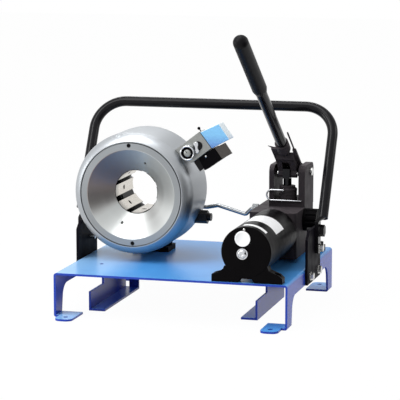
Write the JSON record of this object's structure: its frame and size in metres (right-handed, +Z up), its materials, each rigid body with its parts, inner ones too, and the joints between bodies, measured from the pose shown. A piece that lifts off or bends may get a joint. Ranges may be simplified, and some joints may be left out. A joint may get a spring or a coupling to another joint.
{
  "type": "hose crimping machine",
  "caption": "Portable hydraulic hose crimper: ring head with radial master dies, lever hand pump, crimp stop and carrying bow on a folded sheet table.",
  "frame": {"origin": "centre of the four foot holes, on the floor", "axes": "+Z up, -Y towards the front where the hose goes in, +X towards the hand pump"},
  "size_m": [0.506, 0.5221, 0.5436],
  "materials": {
    "table_paint": "gloss light blue powder coat",
    "black_paint": "semi-gloss black enamel",
    "zinc_fasteners": "bright zinc",
    "black_fasteners": "blackened steel",
    "head_steel": "satin turned steel",
    "die_steel": "ground steel",
    "stop_zinc": "cast zinc, matt",
    "chrome_parts": "polished",
    "switch_black": "satin",
    "switch_brown": "satin",
    "cover_blue": "gloss light blue",
    "knob_black": "ribbed",
    "grip_rubber": "soft black",
    "pipe_steel": "bright drawn steel"
  },
  "bodies": {
    "frame": {"base_plate": "table_paint", "blanking_plug": "black_fasteners", "bow_lower_bolts": "zinc_fasteners", "bow_upper_bolts": "black_fasteners", "bracket_bolts": "zinc_fasteners", "carrying_bow": "black_paint", "cover_screws": "zinc_fasteners", "end_cover": "cover_blue", "filler_plug": "zinc_fasteners", "front_funnel": "head_steel", "front_ring": "head_steel", "fulcrum_pin": "zinc_fasteners", "head_barrel": "head_steel", "head_pedestal": "black_paint", "inlet_fitting": "black_fasteners", "left_bow_bracket": "black_paint", "left_support_rail": "table_paint", "lock_screw": "chrome_parts", "pedestal_bolts": "zinc_fasteners", "pipe_nut": "pipe_steel", "pump_bolts": "zinc_fasteners", "pump_end_cap": "black_paint", "pump_head": "black_paint", "pump_reservoir": "black_paint", "rear_cover": "head_steel", "rear_cylinder": "head_steel", "release_wire": "switch_black", "right_bow_bracket": "black_paint", "right_support_rail": "table_paint", "ring_screws": "black_fasteners", "steel_pipe": "pipe_steel", "stop_block": "stop_zinc", "switch_box": "switch_black", "switch_end": "switch_brown", "wire_clip": "chrome_parts"},
    "lever": {"lever_beam": "black_paint", "lever_grip": "grip_rubber", "lever_tube": "black_paint", "plunger_pin": "zinc_fasteners"},
    "die_1": {"master_die_1": "die_steel"},
    "die_2": {"master_die_2": "die_steel"},
    "die_3": {"master_die_3": "die_steel"},
    "die_4": {"master_die_4": "die_steel"},
    "die_5": {"master_die_5": "die_steel"},
    "die_6": {"master_die_6": "die_steel"},
    "die_7": {"master_die_7": "die_steel"},
    "die_8": {"master_die_8": "die_steel"},
    "plunger": {"plunger": "chrome_parts"},
    "release": {"release_knob": "knob_black"},
    "piston": {"ring_piston": "die_steel"},
    "dial": {"stop_dial": "chrome_parts"}
  },
  "joints": [
    {"name": "piston_slide", "type": "slide", "parent": "frame", "child": "piston", "axis": [0, -1, 0], "range_m": [0, 0.024]},
    {"name": "die_1_slide", "type": "slide", "parent": "frame", "child": "die_1", "axis": [-1, 0, 0], "range_m": [0, 0.0108]},
    {"name": "die_2_slide", "type": "slide", "parent": "frame", "child": "die_2", "axis": [-0.7071, 0, -0.7071], "range_m": [0, 0.0108]},
    {"name": "die_3_slide", "type": "slide", "parent": "frame", "child": "die_3", "axis": [0, 0, -1], "range_m": [0, 0.0108]},
    {"name": "die_4_slide", "type": "slide", "parent": "frame", "child": "die_4", "axis": [0.7071, 0, -0.7071], "range_m": [0, 0.0108]},
    {"name": "die_5_slide", "type": "slide", "parent": "frame", "child": "die_5", "axis": [1, 0, 0], "range_m": [0, 0.0108]},
    {"name": "die_6_slide", "type": "slide", "parent": "frame", "child": "die_6", "axis": [0.7071, 0, 0.7071], "range_m": [0, 0.0108]},
    {"name": "die_7_slide", "type": "slide", "parent": "frame", "child": "die_7", "axis": [0, 0, 1], "range_m": [0, 0.0108]},
    {"name": "die_8_slide", "type": "slide", "parent": "frame", "child": "die_8", "axis": [-0.7071, 0, 0.7071], "range_m": [0, 0.0108]},
    {"name": "lever_hinge", "type": "hinge", "parent": "frame", "child": "lever", "pos_m": [0.1545, 0.138, 0.245], "axis": [1, 0, 0], "range_deg": [-25, 20]},
    {"name": "plunger_slide", "type": "slide", "parent": "frame", "child": "plunger", "axis": [0, 0, 1], "range_m": [-0.0125, 0.0155]},
    {"name": "stop_dial_turn", "type": "hinge", "parent": "frame", "child": "dial", "pos_m": [-0.0046, -0.05, 0.2996], "axis": [0, 1, 0], "range_deg": [0, 300]},
    {"name": "release_turn", "type": "hinge", "parent": "frame", "child": "release", "pos_m": [0.194, 0.084, 0.158], "axis": [1, 0, 0], "range_deg": [0, 90]}
  ],
  "couplings": [
    {"joint": "die_1_slide", "follows": "piston_slide", "ratio": 0.45},
    {"joint": "die_2_slide", "follows": "piston_slide", "ratio": 0.45},
    {"joint": "die_3_slide", "follows": "piston_slide", "ratio": 0.45},
    {"joint": "die_4_slide", "follows": "piston_slide", "ratio": 0.45},
    {"joint": "die_5_slide", "follows": "piston_slide", "ratio": 0.45},
    {"joint": "die_6_slide", "follows": "piston_slide", "ratio": 0.45},
    {"joint": "die_7_slide", "follows": "piston_slide", "ratio": 0.45},
    {"joint": "die_8_slide", "follows": "piston_slide", "ratio": 0.45},
    {"joint": "plunger_slide", "follows": "lever_hinge", "m_per_rad": -0.035}
  ]
}
